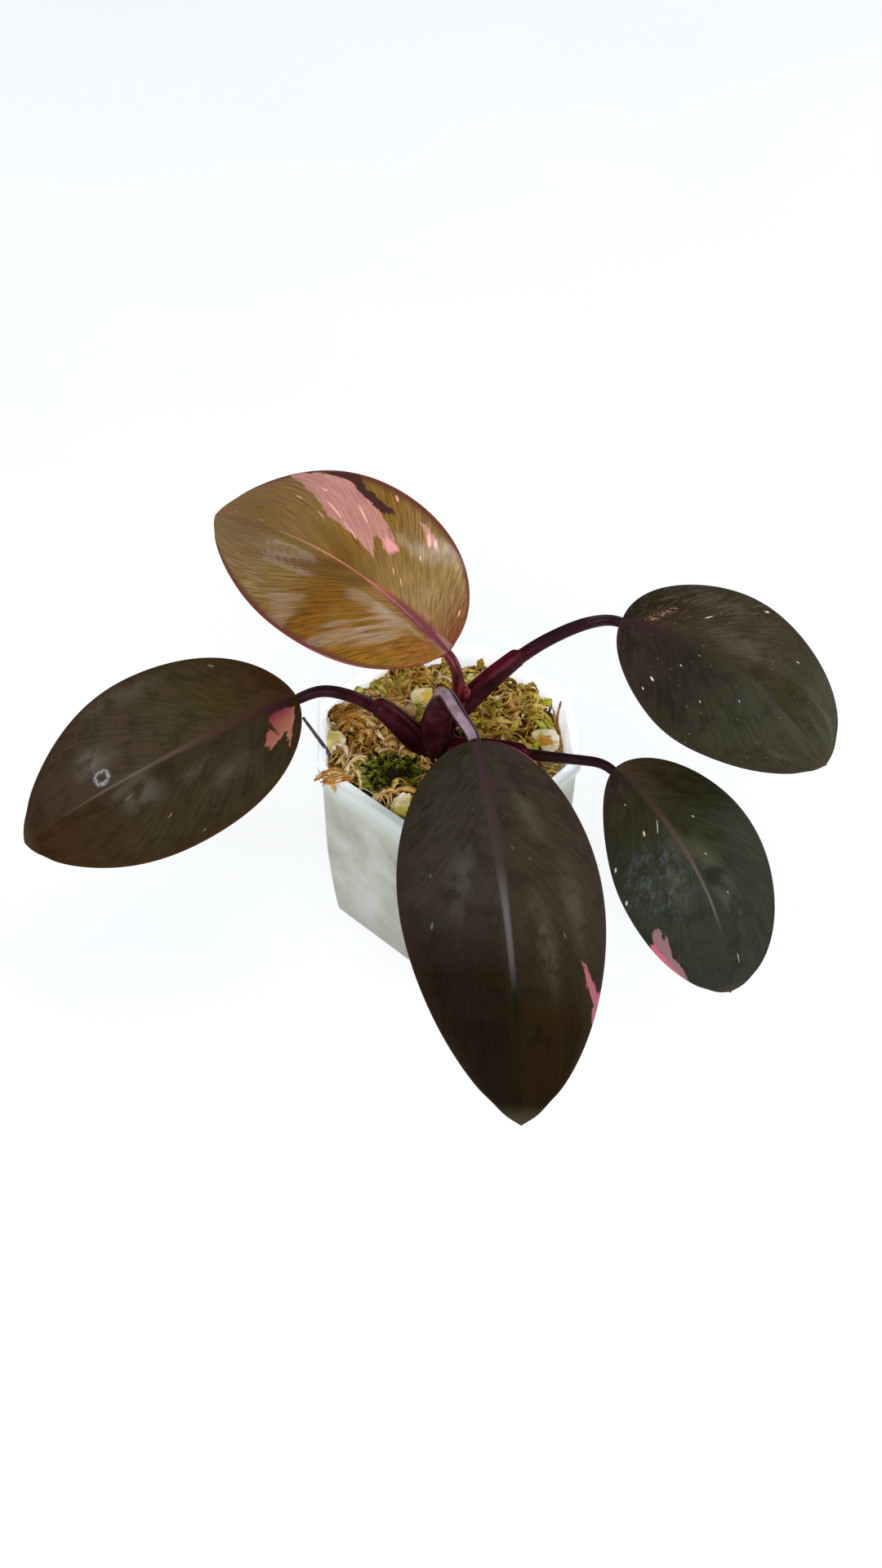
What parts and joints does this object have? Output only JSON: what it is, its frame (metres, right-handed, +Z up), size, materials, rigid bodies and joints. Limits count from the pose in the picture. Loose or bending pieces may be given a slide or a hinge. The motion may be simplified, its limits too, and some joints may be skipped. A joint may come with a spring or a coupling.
{
  "type": "pink princess philodendron",
  "caption": "Young pink princess philodendron with dark, pink-splashed leaves, in a milky square nursery pot of sphagnum moss and pumice.",
  "frame": {"origin": "middle of the pot's flat foot, on the surface that it stands on", "axes": "+Z up; +X to the right of the picture; -Y towards the camera's side, where the long front leaf hangs"},
  "size_m": [0.2148, 0.17, 0.1207],
  "materials": {
    "pot_plastic": "milky, see-through polypropylene with a soft sheen",
    "dry_moss": "matt, fibrous dried sphagnum, tan to ochre",
    "green_moss": "matt, tufted live moss",
    "wisp_moss": "matt, orange-brown moss strands",
    "pumice": "matt, porous, pale yellow-white",
    "stem_skin": "satin, dark maroon plant skin",
    "new_stalk_skin": "satin, crimson plant skin",
    "root_skin": "matt, pale tan root",
    "thin_root_skin": "matt, thin brown root",
    "new_blade": "glossy, copper-orange young leaf with a pink sector",
    "old_blade": "satin, near-black green leaf with pink patches and flecks"
  },
  "bodies": {
    "root": {"pot": "pot_plastic", "moss_fill": "dry_moss", "green_moss": "green_moss", "green_moss_strip": "green_moss", "moss_wisp": "wisp_moss", "pumice_left": "pumice", "pumice_back": "pumice", "pumice_rear": "pumice", "pumice_front": "pumice", "pumice_right": "pumice", "pumice_bit_1": "pumice", "pumice_bit_2": "pumice", "pumice_bit_3": "pumice", "stem": "stem_skin", "petiole_new": "new_stalk_skin", "roots": "root_skin", "twig_left": "thin_root_skin", "root_wall": "thin_root_skin", "blade_back": "new_blade", "blade_left": "old_blade", "blade_front": "old_blade", "blade_right_back": "old_blade", "blade_right_front": "old_blade"}
  },
  "joints": []
}
